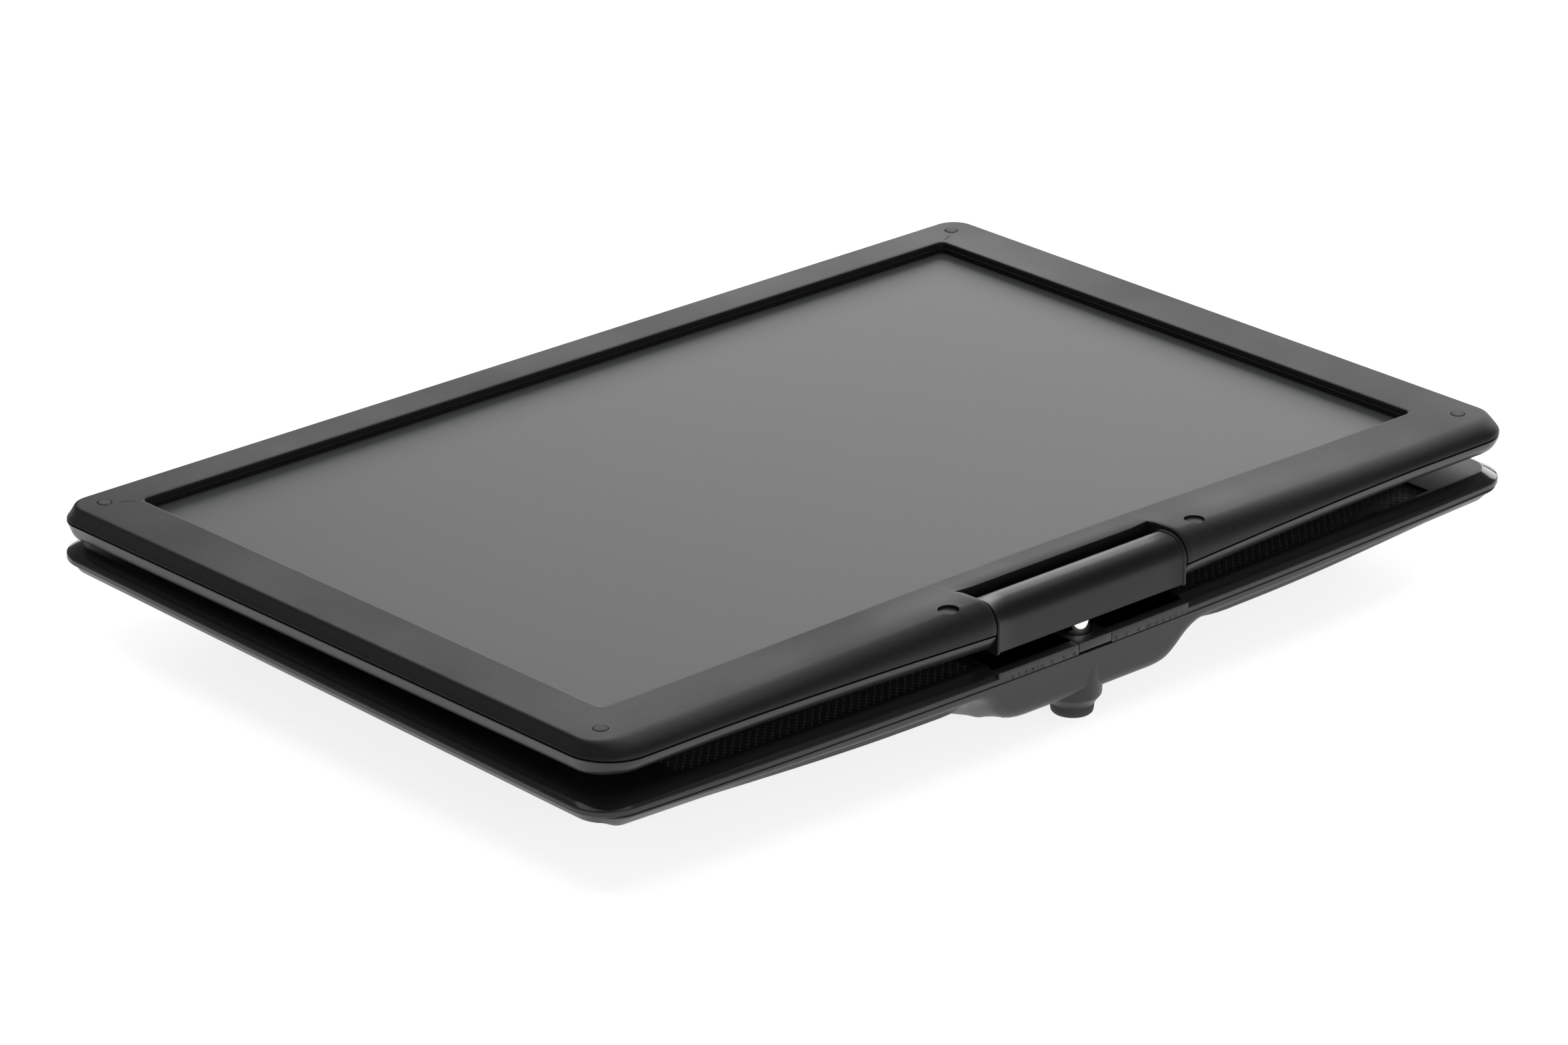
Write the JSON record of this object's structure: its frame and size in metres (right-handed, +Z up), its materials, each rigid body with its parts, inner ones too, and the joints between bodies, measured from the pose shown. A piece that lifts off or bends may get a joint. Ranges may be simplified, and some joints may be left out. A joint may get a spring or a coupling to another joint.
{
  "type": "portable dvd player",
  "caption": "Portable disc player with a wide screen on a swivel and tilt hinge, shown folded flat on its base with the screen facing up.",
  "frame": {"origin": "on the ground plane, at the middle of the overall box", "axes": "+Z up, +X along the hinge edge, -Y towards the hinge edge"},
  "size_m": [0.2984, 0.205, 0.0378],
  "materials": {
    "case_plastic": "fine texture",
    "deck_plastic": "polished",
    "plinth_plastic": "fine texture",
    "bezel_plastic": "fine texture",
    "cover_plastic": "satin",
    "block_plastic": "satin",
    "lid_plastic": "polished",
    "well_plastic": "satin",
    "chassis_plastic": "satin",
    "key_plastic": "satin",
    "jack_plastic": "satin",
    "av_plastic": "satin",
    "ir_plastic": "polished",
    "bush_plastic": "smooth",
    "turntable_plastic": "satin",
    "speaker_body": "satin",
    "battery_wrap": "film",
    "circuit_board": "solder mask",
    "backlight_frame": "satin",
    "lcd_surface": "anti-glare",
    "lens_glass": "coated",
    "light_pipe": "frosted",
    "foot_rubber": "matt",
    "pad_rubber": "matt",
    "shaft_chrome": "polished",
    "steel": "plain",
    "screw_steel": "dark zinc",
    "contact_metal": "plated",
    "motor_can": "plain",
    "sled_metal": "cast",
    "grille_metal": "black paint"
  },
  "bodies": {
    "base": {"bottom_case": "case_plastic", "top_cover": "deck_plastic", "swivel_insert": "plinth_plastic", "swivel_bush": "bush_plastic", "post_foot": "foot_rubber", "rubber_feet": "foot_rubber", "speaker_grille_left": "grille_metal", "speaker_grille_right": "grille_metal", "speaker_left": "speaker_body", "speaker_right": "speaker_body", "battery_pack": "battery_wrap", "main_board": "circuit_board", "key_board": "circuit_board", "headphone_jacks": "jack_plastic", "av_jack": "av_plastic", "dc_inlet": "jack_plastic", "dc_inlet_pin": "contact_metal", "volume_wheel_post": "bush_plastic", "ir_window": "ir_plastic", "status_lights": "light_pipe", "disc_well": "well_plastic", "drive_chassis": "chassis_plastic", "sled_rails": "steel", "spindle_motor": "motor_can", "feed_motor": "motor_can", "lid_catch": "steel", "case_screws": "screw_steel"},
    "lid": {"disc_lid": "lid_plastic", "lid_hinge_pins": "steel"},
    "spindle": {"turntable": "turntable_plastic", "clamp_balls": "steel"},
    "sled": {"laser_sled": "sled_metal", "objective_lens": "lens_glass"},
    "feed": {"feed_screw": "steel"},
    "open_button": {"open_key": "key_plastic"},
    "play_button": {"play_key": "key_plastic"},
    "stop_button": {"stop_key": "key_plastic"},
    "menu_button": {"menu_key": "key_plastic"},
    "nav_button": {"nav_ring": "key_plastic"},
    "enter_button": {"enter_key": "key_plastic"},
    "power_switch": {"power_slide": "key_plastic"},
    "volume": {"volume_wheel": "key_plastic"},
    "swivel": {"hinge_block": "block_plastic", "swivel_shaft": "shaft_chrome", "retaining_ring": "steel", "tilt_bushes": "bush_plastic", "friction_washers": "steel"},
    "screen": {"bezel": "bezel_plastic", "back_cover": "cover_plastic", "lcd_glass": "lcd_surface", "backlight": "backlight_frame", "lcd_board": "circuit_board", "hinge_arm_left": "steel", "hinge_arm_right": "steel", "hinge_nuts": "steel", "hinge_screws": "screw_steel", "bezel_screws": "screw_steel", "corner_pads": "pad_rubber"}
  },
  "joints": [
    {"name": "screen_swivel", "type": "hinge", "parent": "base", "child": "swivel", "pos_m": [0, -0.0953, 0.022], "axis": [0, 0, 1], "range_deg": [0, 180]},
    {"name": "screen_tilt", "type": "hinge", "parent": "swivel", "child": "screen", "pos_m": [0, -0.0953, 0.0315], "axis": [1, 0, 0], "range_deg": [0, 182.2]},
    {"name": "lid_lift", "type": "hinge", "parent": "base", "child": "lid", "pos_m": [-0.03, -0.0655, 0.0189], "axis": [1, 0, 0], "range_deg": [0, 0.9]},
    {"name": "disc_spin", "type": "hinge", "parent": "base", "child": "spindle", "pos_m": [-0.03, 0.003, 0.015], "axis": [0, 0, 1], "continuous": true},
    {"name": "sled_travel", "type": "slide", "parent": "base", "child": "sled", "axis": [1, 0, 0], "range_m": [0, 0.034]},
    {"name": "feed_screw_turn", "type": "hinge", "parent": "base", "child": "feed", "pos_m": [0, 0.0266, 0.0097], "axis": [1, 0, 0], "range_deg": [0, 4090]},
    {"name": "open_press", "type": "slide", "parent": "base", "child": "open_button", "axis": [0, 0, -1], "range_m": [0, 0.0006], "stiffness_N_per_m": 400},
    {"name": "play_press", "type": "slide", "parent": "base", "child": "play_button", "axis": [0, 0, -1], "range_m": [0, 0.0006], "stiffness_N_per_m": 400},
    {"name": "stop_press", "type": "slide", "parent": "base", "child": "stop_button", "axis": [0, 0, -1], "range_m": [0, 0.0006], "stiffness_N_per_m": 400},
    {"name": "menu_press", "type": "slide", "parent": "base", "child": "menu_button", "axis": [0, 0, -1], "range_m": [0, 0.0006], "stiffness_N_per_m": 400},
    {"name": "nav_press", "type": "slide", "parent": "base", "child": "nav_button", "axis": [0, 0, -1], "range_m": [0, 0.0006], "stiffness_N_per_m": 400},
    {"name": "enter_press", "type": "slide", "parent": "base", "child": "enter_button", "axis": [0, 0, -1], "range_m": [0, 0.0006], "stiffness_N_per_m": 400},
    {"name": "power_switch_slide", "type": "slide", "parent": "base", "child": "power_switch", "axis": [0, 1, 0], "range_m": [0, 0.003]},
    {"name": "volume_turn", "type": "hinge", "parent": "base", "child": "volume", "pos_m": [0.1402, -0.018, 0.0134], "axis": [0, 0, 1], "range_deg": [-150, 150]}
  ],
  "couplings": [
    {"joint": "feed_screw_turn", "follows": "sled_travel", "rad_per_m": 2094.4}
  ]
}
